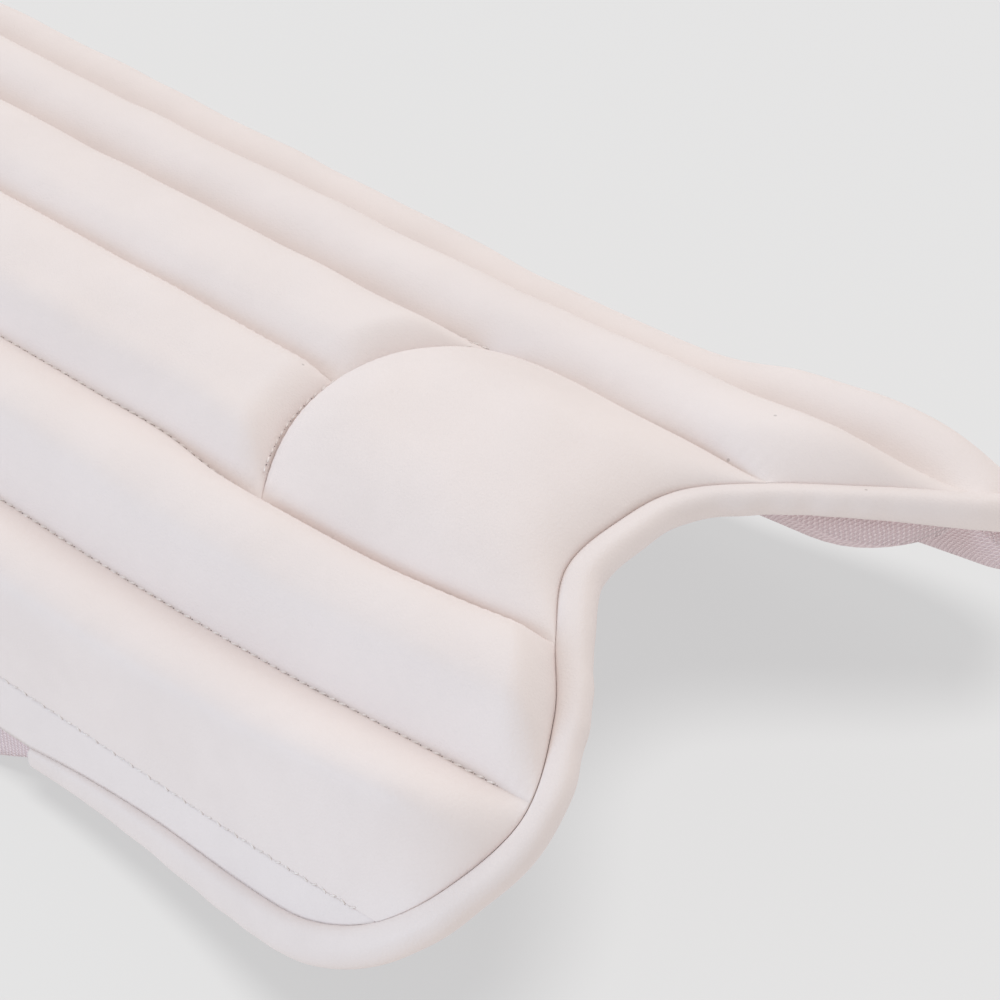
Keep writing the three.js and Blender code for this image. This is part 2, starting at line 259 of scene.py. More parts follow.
print("arch at", round(float(foot_x(0)), 1), "far tip at", round(float(foot_x(TIP_GIRTH)), 1), "mm")

# %% [markdown]
# Padding swells between its seams. A plain arch is a superellipse, and its ends turn down to the
# seam over a set length. The rows of a net are drawn closer near the ends, where it bends most.

# %% Forms of padding
ROLL_SEAMS = (0.0, 44.0, 85.0, 126.0)
OUTER_SEAM = ROLL_SEAMS[3]
FACE_EDGE = 144.5
SEAM_LIFTS = (2.8, 1.8, 1.8, 1.4)
FOOT_LIFT = 2.0
FOOT_LIFT_WAY = 16.0
SEAM_GAP = 0.005
END_TUCK = 0.4
TUCK_REACH = 2.0
ARCH_SIDES = 2.4
ARCH_CROWN = 2.2


def mix(a, b, t):
    """A value between a and b."""
    return a + (b - a) * t


def dome(t):
    """The arch of plain padding: 1 in the middle and 0 at -1 and 1."""
    return np.clip(1 - np.abs(t) ** ARCH_SIDES, 0, 1) ** (1 / ARCH_CROWN)


def turn_down(distance, length, power=2.0):
    """0 on a seam and 1 from a set length on, rounded like the end of a cushion."""
    left = 1 - np.clip(distance / length, 0, 1)
    return np.clip(1 - left**2, 0, 1) ** (1 / power)


def ease_ends(t, pull=0.6):
    """From 0 to 1, with the steps drawn closer at both ends."""
    return t - pull / (2 * math.pi) * np.sin(2 * math.pi * t)


def ease_sides(t):
    """From -1 to 1, with the steps drawn closer at both sides."""
    return np.sin(math.pi / 2 * (2 * t - 1))


def seam_lift(x, girth):
    """How high the sewn-down leather lies over the shell, lower where it goes under the binding."""
    between = np.interp(np.abs(girth), ROLL_SEAMS, SEAM_LIFTS)
    t = np.clip((foot_x(girth) - x) / FOOT_LIFT_WAY, 0, 1)
    return mix(FOOT_LIFT, between, t * (2 - t))


def near(distance, reach):
    """1 on a seam, falling to 0 some way off it."""
    return np.exp(-((distance / reach) ** 2))


def tuck(distance, w):
    """How far the underside stays back from a cut edge, which leaves room for the binding."""
    return END_TUCK * (1 - w) * near(distance, TUCK_REACH)


print("arch at half way", round(float(dome(0.5)), 3))

# %% [markdown]
# Real padding is never even: the filling is thicker here and thinner there. A few long waves
# with fixed phases give that unevenness, so it is the same at every run.

# %% Uneven filling
WAVES = (
    {"along": 71.0, "around": 53.0, "phase": 0.4, "share": 0.45},
    {"along": 43.0, "around": -67.0, "phase": 2.1, "share": 0.35},
    {"along": 29.0, "around": 37.0, "phase": 4.3, "share": 0.20},
)


def uneven(x, girth):
    """Slow swells between -1 and 1 over the face."""
    total = np.zeros(np.broadcast(x, girth).shape)
    for wave in WAVES:
        turn = 2 * math.pi * (x / wave["along"] + girth / wave["around"]) + wave["phase"]
        total = total + wave["share"] * np.sin(turn)
    return total


print("swell at the arch", round(float(uneven(np.array(248.0), np.array(0.0))), 3))

# %% [markdown]
# Every piece of the face is a thick sheet: one net of faces is drawn, pulled up into a block by
# extruding it, and then each vertex is sent to its place on the shell. A closed block keeps
# its foam, and the net is fine enough to carry the small puckers at the seams. Blender's own
# guess at the outside can fail on a thin bent block, so the sign of its volume decides.

# %% Making a bent block


def net_block(columns, rows):
    """A unit block: a flat net of faces, extruded upwards once."""
    block = bmesh.new()
    bmesh.ops.create_grid(block, x_segments=columns, y_segments=rows, size=0.5)
    bmesh.ops.translate(block, verts=block.verts, vec=(0.5, 0.5, 0))
    region = bmesh.ops.extrude_face_region(block, geom=block.faces[:])
    raised = [item for item in region["geom"] if isinstance(item, bmesh.types.BMVert)]
    bmesh.ops.translate(block, verts=raised, vec=(0, 0, 1))
    return block


def finish_mesh(name, block):
    """Turns a bmesh into an object with smooth faces that point outwards."""
    bmesh.ops.recalc_face_normals(block, faces=block.faces)
    if block.calc_volume(signed=True) < 0:
        bmesh.ops.reverse_faces(block, faces=block.faces)
    mesh = bpy.data.meshes.new(name)
    block.to_mesh(mesh)
    block.free()
    mesh.shade_smooth()
    piece = bpy.data.objects.new(name, mesh)
    bpy.context.scene.collection.objects.link(piece)
    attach(piece, "root")
    return piece


def store(piece, name, values):
    """Keeps one number for each vertex, for the material to read."""
    attribute = piece.data.attributes.new(name, "FLOAT", "POINT")
    attribute.data.foreach_set("value", np.asarray(values, np.float32))


def store_uv(piece, across, along):
    """A UV map in millimetres, so that a knit or weave follows the surface."""
    layer = piece.data.uv_layers.new(name="surface")
    corners = np.zeros(len(piece.data.loops), np.int32)
    piece.data.loops.foreach_get("vertex_index", corners)
    pairs = np.stack([across[corners], along[corners]], axis=1)
    layer.data.foreach_set("uv", pairs.astype(np.float32).ravel())


def bent_block(name, columns, rows, bend):
    """A block whose vertices are sent through bend(across, along, up)."""
    block = net_block(columns, rows)
    unit = np.array([vert.co for vert in block.verts])
    points, seam, uv = bend(unit[:, 0], unit[:, 1], unit[:, 2])
    for vert, point in zip(block.verts, points):
        vert.co = point
    piece = finish_mesh(name, block)
    store(piece, "seam", seam)
    store_uv(piece, *uv)
    faces = len(piece.data.polygons)
    print(name, faces, "faces, size", tuple(round(d, 4) for d in piece.dimensions))
    return piece


# %% [markdown]
# Six long rolls cover the shin, three on each side. They aren't even arches: the outer rolls
# have a ridge, and a roll that leans on its inner neighbour has a steep wall there. So each has
# a short table of its cross section, from its inner seam to its outer one. The near and the far
# roll share a table, but their foot ends turn down over lengths of their own.

# %% Cross sections of the rolls
ROLLS = (
    {
        "x": (0, 0.05, 0.10, 0.22, 0.38, 0.55, 0.70, 0.76, 0.82, 0.91, 1),
        "rise": (0, 1.8, 3.4, 6.3, 8.0, 8.7, 8.7, 8.0, 6.3, 3.2, 0),
        "steep": (0, 5.0, 6.6, 7.9, 8.5, 8.7, 8.7, 8.0, 6.3, 3.2, 0),
        "turns": (14.0, 14.0),
        "end": 1.3,
    },
    {
        "x": (0, 0.05, 0.11, 0.22, 0.33, 0.45, 0.54, 0.60, 0.67, 0.84, 1),
        "rise": (0, 2.2, 4.4, 7.5, 9.5, 10.8, 11.0, 10.2, 8.4, 4.0, 0),
        "steep": (0, 4.6, 7.2, 9.6, 10.7, 11.2, 11.0, 10.2, 8.4, 4.0, 0),
        "turns": (13.0, 26.0),
        "end": 1.2,
    },
    {
        "x": (0, 0.10, 0.22, 0.32, 0.38, 0.44, 0.52, 0.66, 0.82, 1),
        "rise": (0, 6.6, 12.0, 14.8, 15.3, 14.2, 11.7, 7.3, 3.1, 0),
        "turns": (32.0, 56.0),
        "end": 1.25,
    },
)
print("rolls", [max(form["rise"]) for form in ROLLS], "mm high, from the middle outwards")

# %% [markdown]
# The pad isn't the same all along. The instep block pushes the seams beside it outwards, rolls
# lean more near the foot, and the far outer roll is slack above its end. All of this changes
# slowly, so a few values by station say where and how much.

# %% How the rolls lie
LEAN = {
    "x": (60, 110, 160, 215, 250, 300),
    "near": (0, 0, 1, 1, 1, 1),
    "far": (0, 0, 0, 0, 0.8, 0.8),
}
SEAM_SPREAD = {
    "x": (95, 125, 150, 190, 225, 243, 257, 275, 300),
    "near": (0, 0, 3.0, 3.8, 3.4, 2.0, 0.8, 0.5, 0.5),
    "far": (0, 0, 1.0, 3.6, 0.2, -1.0, -1.8, -2.0, -2.0),
}
FAR_SLACK = 0.18
FAR_SLACK_TO = 195.0
FAR_SLACK_WAY = 35.0
BLOCK_CROWN = 147.5
BLOCK_SWEEP = 15.5


def block_x(girth):
    """The station of the swept seam between the middle rolls and the block."""
    return BLOCK_CROWN + BLOCK_SWEEP * (girth / ROLL_SEAMS[1]) ** 2


def lean(x, order, side):
    """1 where a roll is pressed against its inner neighbour and its wall is steep there."""
    if order == 0:
        return np.full(np.shape(x), 1.0 if side < 0 else 0.0)
    return smooth_column(LEAN, "near" if side < 0 else "far", x)


def spread(x, side):
    """How far the seam beside the instep block lies outside its plain line."""
    near_side = smooth_column(SEAM_SPREAD, "near", x)
    far_side = smooth_column(SEAM_SPREAD, "far", x)
    return np.where(np.asarray(side) < 0, near_side, far_side)


def fullness(x, order, side):
    """1 where a roll is packed full; the far outer roll is slack up to its foot end."""
    if order < 2 or side < 0:
        return np.ones(np.shape(x))
    t = np.clip((x - FAR_SLACK_TO) / FAR_SLACK_WAY, 0, 1)
    return 1 - FAR_SLACK * (1 - t * t * (3 - 2 * t))


print("seam beside the block moves out by", max(SEAM_SPREAD["near"]), "mm at most")

# %% [markdown]
# Leather is drawn in at each needle hole, so both edges of a roll carry a row of small dimples
# at the stitch pitch, and they fade a few millimetres up its flank. One function adds them and
# the uneven filling to the swell of any padded piece.

# %% Height of the padding
STITCH_PITCH = 3.6
PUCKER_DEPTH = 0.28
PUCKER_REACH = 3.2
UNEVEN_LIFT = 0.45


def puckers(run, distance):
    """Dimples along a seam, deepest on it."""
    return PUCKER_DEPTH * near(distance, PUCKER_REACH) * np.cos(2 * math.pi * run / STITCH_PITCH)


def padded_lift(x, girth, w, height, swell, dimples):
    """How high padding stands over the shell, from 0 below it to its full height on top."""
    rise = height * swell + UNEVEN_LIFT * swell * uneven(x, girth)
    rise = rise + dimples * np.sqrt(np.clip(swell, 0, 1))
    return w * (seam_lift(x, girth) + np.maximum(rise, 0))


print("dimples", PUCKER_DEPTH, "mm deep every", STITCH_PITCH, "mm")

# %% [markdown]
# A roll runs from the first knee seam to the foot cut, or to the block for the two in the
# middle. Its edge follows a seam that moves with the station, and its end depends on its edge,
# so the two are settled in a few rounds. Each vertex also keeps how brown its seam is, for the
# leather to read: the brown is partly stitch dirt and partly painted shade in the crease. The
# outer rows get little of it, and the inner seam of the far outer roll gets none.

# %% Shin rolls
KNEE_SEAMS = (-152.0, -193.0, -234.0, -275.0)
ROLL_TURN_AT_SEAM = 11.0
# Near the seams the leather turns brown, partly as stitch dirt and partly as painted crease shade.
SEAM_DIRT_AND_SHADE = {-1: (1.0, 1.0, 1.0, 0.2), 1: (1.0, 1.0, 0.0, 0.2)}
END_DIRT_AND_SHADE = 0.5
DIRT_AND_SHADE_REACH = 1.6
SPREAD_ROUNDS = 4
ROLL_COLUMNS = 40
ROLL_ROWS = 340


def shin_roll(name, order, side):
    inner = ROLL_SEAMS[order] + SEAM_GAP
    outer = ROLL_SEAMS[order + 1] - SEAM_GAP
    form = ROLLS[order]
    turn = form["turns"][0 if side < 0 else 1]
    steep_column = "steep" if "steep" in form else "rise"
    height = max(form["rise"])
    at_block = order == 0
    start = KNEE_SEAMS[0] + SEAM_GAP
    dirt_and_shade = SEAM_DIRT_AND_SHADE[side]

    def bend(u, v, w):
        share = (1 + side * ease_sides(u)) / 2
        moved = {0: share, 1: 1 - share, 2: np.zeros_like(share)}[order]
        girth = side * mix(inner, outer, share)
        for _ in range(SPREAD_ROUNDS):
            end = (block_x(girth) if at_block else foot_x(girth)) - SEAM_GAP
            x = mix(start, end, ease_ends(v))
            girth = side * (mix(inner, outer, share) + moved * spread(x, side))
        ends = turn_down(end - x, turn, form["end"]) * turn_down(x - start, ROLL_TURN_AT_SEAM)
        plain = smooth_column(form, "rise", share)
        steep = smooth_column(form, steep_column, share)
        swell = mix(plain, steep, lean(x, order, side)) / height * ends
        swell = swell * fullness(x, order, side)
        from_inner = share * (outer - inner)
        from_outer = (1 - share) * (outer - inner)
        from_side = np.minimum(from_inner, from_outer)
        from_end = np.minimum(end - x, x - start)
        # The brown near each seam and end is partly stitch dirt and partly painted crease shade.
        inner_dirt_and_shade = dirt_and_shade[order] * near(from_inner, DIRT_AND_SHADE_REACH)
        outer_dirt_and_shade = dirt_and_shade[order + 1] * near(from_outer, DIRT_AND_SHADE_REACH)
        seam = np.maximum(inner_dirt_and_shade, outer_dirt_and_shade)
        seam = np.maximum(seam, END_DIRT_AND_SHADE * near(from_end, DIRT_AND_SHADE_REACH))
        lift = padded_lift(x, girth, w, height, swell, puckers(x, from_side))
        return on_shell(x - tuck(end - x, w), girth, lift), seam, (girth, x)

    return bent_block(name, ROLL_COLUMNS, ROLL_ROWS, bend)


ROLL_PLACES = ((2, -1), (1, -1), (0, -1), (0, 1), (1, 1), (2, 1))
shin_rolls = [
    shin_roll(f"padded_shin_roll_{number}", order, side)
    for number, (order, side) in enumerate(ROLL_PLACES, 1)
]

# %% [markdown]
# The block over the instep is a wider cushion that closes the two middle rolls. Its upper edge
# is steep and swept, and its foot end slopes down to the arch over a longer way. Half of its
# cross section is a table, and its edges move with the same seams as the rolls beside it.

# %% Instep block
BLOCK = {
    "x": (0, 0.25, 0.40, 0.55, 0.70, 0.82, 0.91, 0.96, 1),
    "rise": (11.2, 11.2, 10.9, 9.8, 7.9, 5.8, 3.9, 2.4, 0),
}
BLOCK_TURN = 22.0
BLOCK_SLOPE = 42.0
BLOCK_SLOPE_POWER = 1.6
BLOCK_COLUMNS = 96
BLOCK_ROWS = 110


def instep_bend(u, v, w):
    half = ROLL_SEAMS[1] - SEAM_GAP
    across = ease_sides(u)
    girth = across * half
    for _ in range(SPREAD_ROUNDS):
        start = block_x(girth) + SEAM_GAP
        end = foot_x(girth) - SEAM_GAP
        x = mix(start, end, ease_ends(v))
        girth = across * (half + spread(x, across))
    slope = turn_down(end - x, BLOCK_SLOPE, BLOCK_SLOPE_POWER)
    height = max(BLOCK["rise"])
    arch = smooth_column(BLOCK, "rise", np.abs(across)) / height
    swell = arch * turn_down(x - start, BLOCK_TURN) * slope
    from_side = half * (1 - np.abs(across))
    from_end = np.minimum(end - x, x - start)
    # How near a seam a point is, for the brown that is partly stitch dirt and partly painted crease
    # shade.
    seam = np.maximum(near(from_side, DIRT_AND_SHADE_REACH), near(from_end, DIRT_AND_SHADE_REACH))
    lift = padded_lift(x, girth, w, height, swell, puckers(girth, x - start))
    return on_shell(x - tuck(end - x, w), girth, lift), seam, (girth, x)


instep_block = bent_block("padded_instep_block", BLOCK_COLUMNS, BLOCK_ROWS, instep_bend)

# %% [markdown]
# The knee has three rolls across and a flat padded panel above them. The photograph stops short
# of them, so they are plain, with the same arch and the same seams as the rest.

# %% Knee rolls and top panel
KNEE_RISE = 9.0
KNEE_TURN = 20.0
KNEE_COLUMNS = 220
KNEE_ROWS = 36
TOP_RISE = 5.5
TOP_TURN = 20.0
TOP_ROWS = 50


def knee_roll(name, order):
    low = KNEE_SEAMS[order + 1] + SEAM_GAP
    high = KNEE_SEAMS[order] - SEAM_GAP
    half = OUTER_SEAM - SEAM_GAP

    def bend(u, v, w):
        along = ease_sides(v)
        girth = mix(-half, half, ease_ends(u))
        x = mix(low, high, (1 + along) / 2)
        swell = dome(along) * turn_down(half - np.abs(girth), KNEE_TURN)
        from_side = np.minimum(x - low, high - x)
        seam = np.maximum(near(from_side, DIRT_AND_SHADE_REACH), near(half - np.abs(girth), DIRT_AND_SHADE_REACH))
        lift = padded_lift(x, girth, w, KNEE_RISE, swell, puckers(girth, from_side))
        return on_shell(x, girth, lift), seam, (girth, x)

    return bent_block(name, KNEE_COLUMNS, KNEE_ROWS, bend)


def top_bend(u, v, w):
    half = OUTER_SEAM - SEAM_GAP
    girth = mix(-half, half, ease_ends(u))
    start = top_x(girth) + SEAM_GAP
    end = KNEE_SEAMS[3] - SEAM_GAP
    x = mix(start, end, ease_ends(v))
    swell = turn_down(x - start, TOP_TURN) * turn_down(end - x, ROLL_TURN_AT_SEAM)
    swell = swell * turn_down(half - np.abs(girth), TOP_TURN)
    from_end = np.minimum(x - start, end - x)
    seam = np.maximum(near(from_end, DIRT_AND_SHADE_REACH), near(half - np.abs(girth), DIRT_AND_SHADE_REACH))
    lift = padded_lift(x, girth, w, TOP_RISE, swell, puckers(girth, from_end))
    return on_shell(x + tuck(x - start, w), girth, lift), seam, (girth, x)


knee_rolls = [knee_roll(f"padded_knee_roll_{order + 1}", order) for order in range(3)]
top_panel = bent_block("padded_top_panel", KNEE_COLUMNS, TOP_ROWS, top_bend)

# %% [markdown]
# Outside the last stitch line the face is left flat: a strip of leather that narrows to a point
# where the bindings meet it. It has no filling, so it is a thin sheet, with faint dimples at
# the stitches.

# %% Side strips
STRIP_THICKNESS = 1.4
STRIP_POINT = 0.6
STRIP_CLEAR = 0.25
STRIP_PUCKER = 0.2
STRIP_DIRT_AND_SHADE_REACH = 1.0
STRIP_COLUMNS = 12
STRIP_ROWS = 600


def side_strip(name, side):
    inner = OUTER_SEAM + SEAM_GAP
    start = top_x(side * (inner + STRIP_POINT)) + SEAM_GAP
    end = foot_x(side * (inner + STRIP_POINT)) - SEAM_GAP

    def bend(u, v, w):
        x = mix(start, end, ease_ends(v))
        outer = np.minimum(FACE_EDGE, side_girth(x, side) - STRIP_CLEAR)
        outer = np.maximum(outer, inner + STRIP_POINT)
        share = u if side > 0 else 1 - u
        girth = side * mix(inner, outer, share)
        from_side = np.abs(girth) - inner
        from_edge = outer - np.abs(girth)
        thickness = STRIP_THICKNESS + STRIP_PUCKER * puckers(x, from_side)
        # The brown at the strip's edges is partly stitch dirt and partly painted crease shade.
        inner_dirt_and_shade = near(from_side, STRIP_DIRT_AND_SHADE_REACH) * SEAM_DIRT_AND_SHADE[side][3]
        seam = np.maximum(inner_dirt_and_shade, near(from_edge, STRIP_DIRT_AND_SHADE_REACH))
        sunk = side * tuck(from_edge, w)
        return on_shell(x, girth - sunk, w * thickness), seam, (girth, x)

    return bent_block(name, STRIP_COLUMNS, STRIP_ROWS, bend)


side_strips = [side_strip("leather_side_strip_near", -1), side_strip("leather_side_strip_far", 1)]

# %% [markdown]
# The binding is a leather roll sewn round each cut end. It is a net wrapped into a tube: the
# two long edges are welded and the two ends are filled. Its half width changes along its run,
# by a table, and is least at the ends, where the leather is folded in. Its inner side is squarer,
# because it presses on the face there, and faint wrinkles run across its outer side.

# %% Bindings
BINDING_HALVES = {
    "x": (0, 0.05, 0.12, 0.20, 0.25, 0.29, 0.33, 0.38, 0.43, 0.50, 0.57, 0.66, 0.80, 0.95, 1),
    "foot": (4.0, 5.2, 6.4, 6.0, 5.0, 4.3, 4.1, 4.6, 5.1, 4.5, 4.2, 5.2, 5.6, 5.2, 4.0),
    "top": (4.0, 5.2, 5.6, 5.6, 5.6, 5.6, 5.6, 5.6, 5.6, 5.6, 5.6, 5.6, 5.6, 5.2, 4.0),
}
BINDING_TALL = 0.93
BINDING_SINK = 1.2
BINDING_GAP = -0.3
BINDING_AROUND = 40
BINDING_SQUARE = 0.55
BINDING_STEPS = {"foot": 700, "top": 300}
BINDING_WELD = 1e-6
WRINKLE_DEPTH = 0.14
WRINKLE_STEP = 2.3
WRINKLE_SHIFT = 3
WRINKLE_SHIFT_STEP = 19
WRINKLE_PATCH = 41


def binding(name, line, outward, end):
    steps = BINDING_STEPS[end]
    path = spaced(line, steps)
    tangent = np.gradient(path, axis=0)
    tangent = tangent / np.linalg.norm(tangent, axis=1, keepdims=True)
    length = np.linalg.norm(np.diff(path, axis=0), axis=1).sum()
    tube = bmesh.new()
    bmesh.ops.create_grid(tube, x_segments=BINDING_AROUND, y_segments=steps, size=0.5)
    unit = np.array([vert.co for vert in tube.verts]) + 0.5
    row = np.rint(unit[:, 1] * steps).astype(int)
    turn = 2 * math.pi * unit[:, 0] * outward
    run = unit[:, 1] * length
    shift = WRINKLE_SHIFT * np.sin(run / WRINKLE_SHIFT_STEP)
    wrinkle = np.sin(run / WRINKLE_STEP + shift) * np.sin(run / WRINKLE_PATCH) ** 2
    half = smooth_column(BINDING_HALVES, end, unit[:, 1])
    half = half + WRINKLE_DEPTH * wrinkle * np.clip(np.cos(turn), 0, 1)
    square = np.where(np.cos(turn) < 0, BINDING_SQUARE, 1.0)
    across = BINDING_GAP + half * (1 + np.sign(np.cos(turn)) * np.abs(np.cos(turn)) ** square)
    tall = half * BINDING_TALL
    lift = tall * np.sign(np.sin(turn)) * np.abs(np.sin(turn)) ** square - BINDING_SINK
    girth = path[row, 0] - outward * tangent[row, 1] * across
    x = path[row, 1] + outward * tangent[row, 0] * across
    for vert, point in zip(tube.verts, on_shell(x, girth, lift)):
        vert.co = point
    bmesh.ops.remove_doubles(tube, verts=tube.verts, dist=BINDING_WELD)
    bmesh.ops.holes_fill(tube, edges=[edge for edge in tube.edges if edge.is_boundary])
    piece = finish_mesh(name, tube)
    print(name, round(length), "mm long,", len(piece.data.polygons), "faces")
    return piece


foot_binding = binding("padded_foot_binding", foot_line, 1, "foot")
top_binding = binding("padded_top_binding", top_line, -1, "top")

# %% [markdown]
# The lining is foam under knitted mesh, stuffed into a lobe behind each roll. On each side it
# ends in a flap that hangs to the floor, and the pad rests on those two edges. At the far tip
# the two outer lobes bulge out under the binding, and the inner one is drawn back.

# %% Mesh lining
LINING_BASE = 5.0
LOBE_RISES = (9.0, 12.0, 14.0)
LOBE_REACHES = (-12.0, 4.0, 13.0)
LOBE_REACH_WAY = 14.0
LOBE_ROUND = 1.1
FLAP_RISE = 7.0
FLAP_SEAM = 137.0
FLAP_SQUARED = 0.45
LOBE_TURN = 12.0
LOBE_LIP = 3.5
FLOOR_TOP = -205.0
FLOOR_TOP_RISE = 44.0
FLOOR_FOOT = 99.0
FLOOR_FOOT_RISE = 62.0
LINING_GAP = 1.0
LINING_END_GAP = 1.6
LOBE_COLUMNS = 26
FLAP_COLUMNS = 12
LINING_COLUMNS = 2 * (3 * LOBE_COLUMNS + FLAP_COLUMNS)
LINING_ROWS = 260
LINING_END_PULL = 0.8
EDGE_GUARD = 1e-6


def lift_off(x):
    """0 where the flap hangs to the floor, 1 where it has risen to the cut line."""
    to_foot = (x - FLOOR_FOOT) / FLOOR_FOOT_RISE
    to_top = (FLOOR_TOP - x) / FLOOR_TOP_RISE
    t = np.clip(np.maximum(to_foot, to_top), 0, 1)
    return t * t * (3 - 2 * t)


def lining_reach(x):
    """The girth of the lining's edge, which is the same on both sides."""
    to_floor = whole_girth(x) + smooth_column(SHELL, "edge", x)
    sewn = np.minimum(side_girth(x, -1) - LINING_END_GAP, to_floor)
    return mix(to_floor, sewn, lift_off(x))


def flap_padding(x, share):
    """How thick a flap is stuffed; its edge is squarer where it stands on the floor."""
    return FLAP_RISE * dome(share * (2 - FLAP_SQUARED * (1 - lift_off(x))) - 1)


def lining_bend(u, v, w):
    from_centre = np.abs(u - 0.5) * LINING_COLUMNS
    side = np.where(u < 0.5, -1, 1)
    lobe = np.minimum((from_centre / LOBE_COLUMNS + EDGE_GUARD).astype(int), 2)
    part = np.clip(from_centre / LOBE_COLUMNS - lobe, 0, 1)
    share = np.clip(from_centre - 3 * LOBE_COLUMNS, 0, None) / FLAP_COLUMNS
    in_flap = share > EDGE_GUARD
    seams = np.array(ROLL_SEAMS)
    across = (1 + ease_sides(part)) / 2
    in_lobe = mix(seams[lobe], seams[lobe + 1], across)
    sewn = np.where(in_flap, mix(OUTER_SEAM, FLAP_SEAM, share), in_lobe)
    start = top_x(side * sewn) + LINING_END_GAP
    end = foot_x(side * sewn) - LINING_END_GAP
    x = mix(start, end, ease_ends(v, LINING_END_PULL))
    girth = side * np.where(in_flap, mix(OUTER_SEAM, lining_reach(x), share), sewn)
    ends = turn_down(np.minimum(end - x, x - start) + LOBE_LIP, LOBE_TURN)
    swell = np.array(LOBE_RISES)[lobe] * (1 - (2 * across - 1) ** 2) ** LOBE_ROUND
    padding = np.where(in_flap, flap_padding(x, share), swell)
    depth = LINING_BASE + padding * ends
    reach = np.array(LOBE_REACHES)[lobe] * swell / np.array(LOBE_RISES)[lobe]
    reach = reach * np.where(in_flap | (side < 0), 0, 1 - w)
    x = x + reach * np.exp(-(end - x) / LOBE_REACH_WAY)
    below = depth * (1 - w)
    return on_shell(x, girth, -LINING_GAP - below), np.zeros_like(u), (girth, x + below)


mesh_lining = bent_block("padded_mesh_lining", LINING_COLUMNS, LINING_ROWS, lining_bend)

# %% [markdown]
# Two bands of webbing lie slack across the open back and hold the pad to the leg. Each is the
# lower half of a squarish oval between the flaps, with the real thickness of strap webbing.

# %% Straps
STRAP_WIDTH = 38.0
STRAP_THICKNESS = 2.2
STRAP_RISE = 14.0
STRAP_SQUARE = 5.0
STRAP_CLEAR = 0.4
STRAP_COLUMNS = 180
STRAP_ROWS = 24
STRAP_STATIONS = {"strap_lower": 55.0, "strap_upper": -175.0}


def strap(node, station):
    def bend(u, v, w):
        x = station + (v - 0.5) * STRAP_WIDTH
        reach = lining_reach(x)
        share = (reach - STRAP_RISE - OUTER_SEAM) / (reach - OUTER_SEAM)
        inside = on_shell(x, reach - STRAP_RISE, -LINING_GAP - LINING_BASE - flap_padding(x, share))
        half = inside[:, 1] / MM - 2 * STRAP_CLEAR - w * STRAP_THICKNESS
        drop = STRAP_RISE - w * STRAP_THICKNESS
        angle = math.pi * u
        square = 2 / STRAP_SQUARE
        y = -np.sign(np.cos(angle)) * half * np.abs(np.cos(angle)) ** square
        z = STRAP_CLEAR + STRAP_RISE - drop * np.clip(np.sin(angle), 0, 1) ** square
        return np.stack([x - MIDDLE, y, z], axis=1) * MM, np.zeros_like(u), (y, x)

    return bent_block("webbing_" + node, STRAP_COLUMNS, STRAP_ROWS, bend)


straps = {node: strap(node, station) for node, station in STRAP_STATIONS.items()}

# %% [markdown]
# Each piece stands for one solid of the frame, which is then hidden. The stuffed ones are named
# as padding, and the rolls are numbered by their place.

# %% What each piece stands for
REPLACED = {piece: f"shin_roll_{number}" for number, piece in enumerate(shin_rolls, 1)}
REPLACED |= {piece: f"knee_roll_{number}" for number, piece in enumerate(knee_rolls, 1)}
REPLACED |= {instep_block: "instep_block", top_panel: "top_panel"}
REPLACED |= {side_strips[0]: "side_strip_near", side_strips[1]: "side_strip_far"}
REPLACED |= {foot_binding: "foot_binding", top_binding: "top_binding"}
REPLACED |= {mesh_lining: "mesh_lining"}
REPLACED |= {piece: node for node, piece in straps.items()}
for piece, node in REPLACED.items():
    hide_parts(node)
print(len(REPLACED), "pieces stand for", len(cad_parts), "solids")

# %% [markdown]
# A thread shows as a row of short slanted stitches. One stitch is a small ball, stretched along
# the seam, and hundreds of them are joined in one mesh. On the near side a small dark bead sits
# between two stitches: painted shade for the shadow inside a needle hole.

# %% One row of stitches
STITCH = {"long": 2.7, "wide": 0.62, "high": 0.5}
HOLE = {"long": 0.5, "wide": 0.4, "high": 0.3}
HOLE_SINK = 0.15
NEAR_SIDE = -10.0
threads = bmesh.new()
holes = bmesh.new()


def place_on(path, lift):
    """Points on a path of (girth, station), with the directions along, across and up there."""
    points = on_shell(path[:, 1], path[:, 0], lift)
    up = on_shell(path[:, 1], path[:, 0], lift + 1) - points
    along = np.gradient(points, axis=0)
    up = up / np.linalg.norm(up, axis=1, keepdims=True)
    along = along / np.linalg.norm(along, axis=1, keepdims=True)
    return points, along, np.cross(up, along), up


def bead(mesh, point, along, across, up, size):
    """One small ball, stretched along three directions."""
    turn = Matrix((Vector(along), Vector(across), Vector(up))).transposed().to_4x4()
    halves = [size[way] * MM / 2 for way in ("long", "wide", "high")]
    matrix = Matrix.Translation(Vector(point)) @ turn @ Matrix.Diagonal((*halves, 1))
    bmesh.ops.create_uvsphere(mesh, u_segments=6, v_segments=4, radius=1, matrix=matrix)


def add_to(whole, part):
    """Moves a small bmesh into a larger one, which is faster than growing the larger one."""
    mesh = bpy.data.meshes.new("row")
    part.to_mesh(mesh)
    part.free()
    whole.from_mesh(mesh)
    bpy.data.meshes.remove(mesh)


